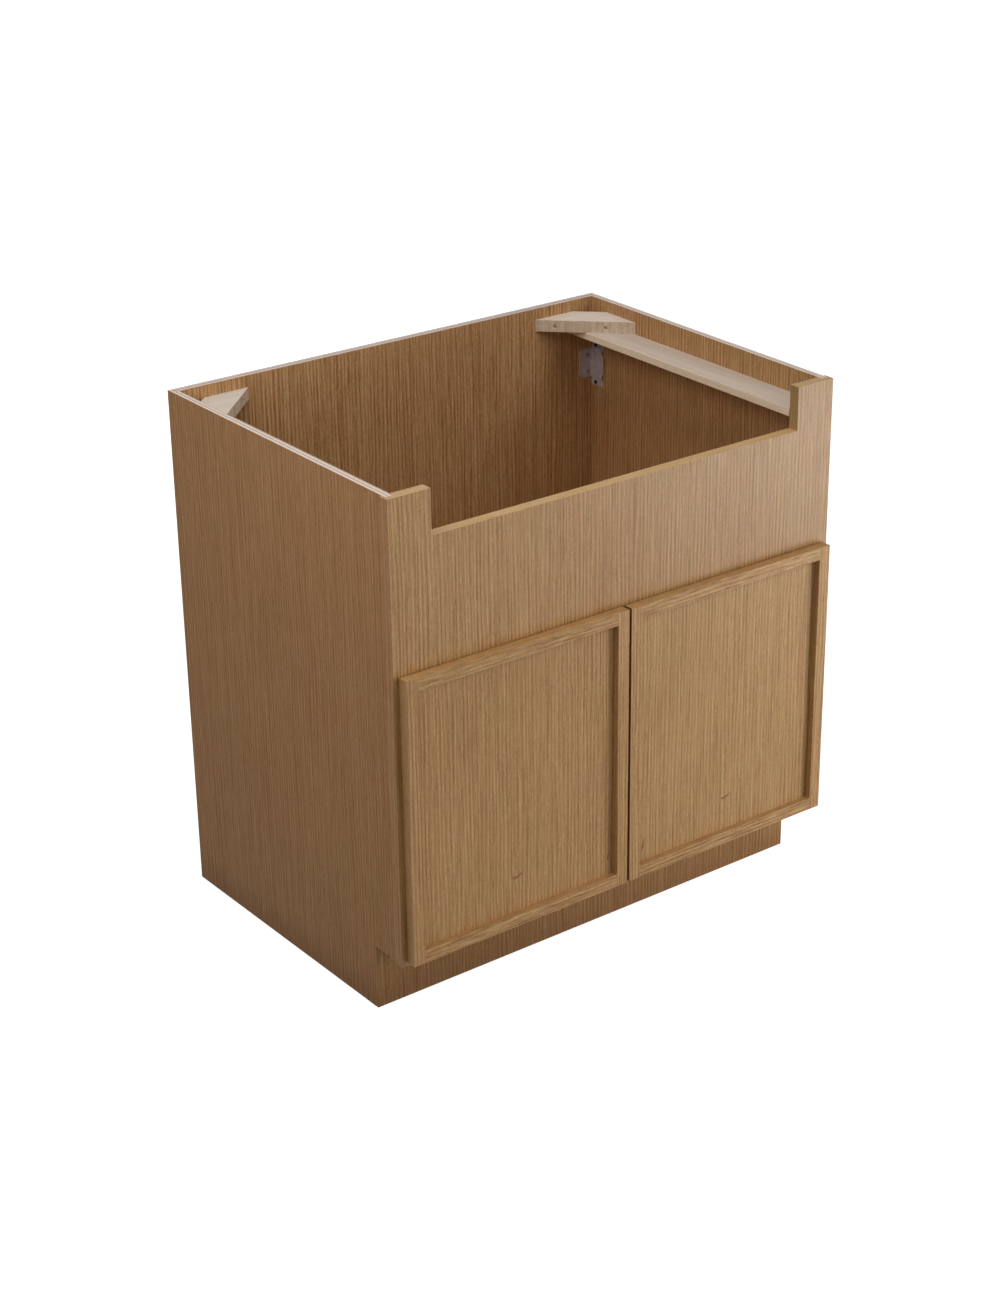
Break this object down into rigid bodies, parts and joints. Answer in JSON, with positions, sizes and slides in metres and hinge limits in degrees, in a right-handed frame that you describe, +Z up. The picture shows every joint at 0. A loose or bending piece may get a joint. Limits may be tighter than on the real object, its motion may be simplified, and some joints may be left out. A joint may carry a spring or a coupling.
{
  "type": "sink base cabinet",
  "caption": "Apron-front sink base cabinet: open top with a notched face panel, slim-framed doors on concealed hinges, toe space, sink rails and corner blocks.",
  "frame": {"origin": "middle of the footprint, closed doors included, at floor level", "axes": "+Z up, front towards -Y, +X to the right as seen from the front"},
  "size_m": [0.8636, 0.6286, 0.8763],
  "materials": {
    "oak_veneer": "satin",
    "oak_door": "satin",
    "pale_wood": "matte",
    "bracket_steel": "satin",
    "zinc_screw": "satin",
    "nickel_steel": "satin",
    "clear_rubber": "satin"
  },
  "bodies": {
    "carcass": {"face_panel": "oak_veneer", "back_panel": "oak_veneer", "bottom_panel": "oak_veneer", "toe_kick_board": "pale_wood", "toe_kick_skin": "oak_veneer", "side_panel_left": "oak_veneer", "side_panel_right": "oak_veneer", "sink_rail_left": "pale_wood", "sink_rail_right": "pale_wood", "corner_block_left": "pale_wood", "corner_block_right": "pale_wood", "corner_block_screws": "zinc_screw", "corner_bracket_screws": "zinc_screw", "hinge_base_screws": "zinc_screw", "hinge_base_pins": "nickel_steel", "corner_bracket_left_lower": "bracket_steel", "corner_bracket_left_upper": "bracket_steel", "corner_bracket_right_lower": "bracket_steel", "corner_bracket_right_upper": "bracket_steel", "hinge_base_left_lower": "nickel_steel", "hinge_base_left_upper": "nickel_steel", "hinge_base_right_lower": "nickel_steel", "hinge_base_right_upper": "nickel_steel"},
    "left_links": {"hinge_link_left_lower": "nickel_steel", "hinge_link_left_upper": "nickel_steel"},
    "left_door": {"door_left_stile_hinge": "oak_door", "door_left_stile_free": "oak_door", "door_left_rail_top": "oak_door", "door_left_rail_bottom": "oak_door", "door_left_panel": "oak_door", "door_left_bumpers": "clear_rubber", "hinge_cup_left_lower": "nickel_steel", "hinge_cup_left_upper": "nickel_steel", "hinge_cup_pins_left": "nickel_steel", "hinge_cup_screws_left": "zinc_screw"},
    "right_links": {"hinge_link_right_lower": "nickel_steel", "hinge_link_right_upper": "nickel_steel"},
    "right_door": {"door_right_stile_hinge": "oak_door", "door_right_stile_free": "oak_door", "door_right_rail_top": "oak_door", "door_right_rail_bottom": "oak_door", "door_right_panel": "oak_door", "door_right_bumpers": "clear_rubber", "hinge_cup_right_lower": "nickel_steel", "hinge_cup_right_upper": "nickel_steel", "hinge_cup_pins_right": "nickel_steel", "hinge_cup_screws_right": "zinc_screw"}
  },
  "joints": [
    {"name": "right_link_swing", "type": "hinge", "parent": "carcass", "child": "right_links", "pos_m": [0.3765, -0.2873, 0.3576], "axis": [0, 0, 1], "range_deg": [-28.2, 0]},
    {"name": "right_door_swing", "type": "hinge", "parent": "right_links", "child": "right_door", "pos_m": [0.41204, -0.2996, 0.3576], "axis": [0, 0, 1], "range_deg": [0, 128]},
    {"name": "left_link_swing", "type": "hinge", "parent": "carcass", "child": "left_links", "pos_m": [-0.3765, -0.2873, 0.3576], "axis": [0, 0, -1], "range_deg": [-28.2, 0]},
    {"name": "left_door_swing", "type": "hinge", "parent": "left_links", "child": "left_door", "pos_m": [-0.41204, -0.2996, 0.3576], "axis": [0, 0, -1], "range_deg": [0, 128]}
  ],
  "couplings": [
    {"joint": "right_link_swing", "follows": "right_door_swing", "ratio": -0.21875},
    {"joint": "left_link_swing", "follows": "left_door_swing", "ratio": -0.21875}
  ]
}
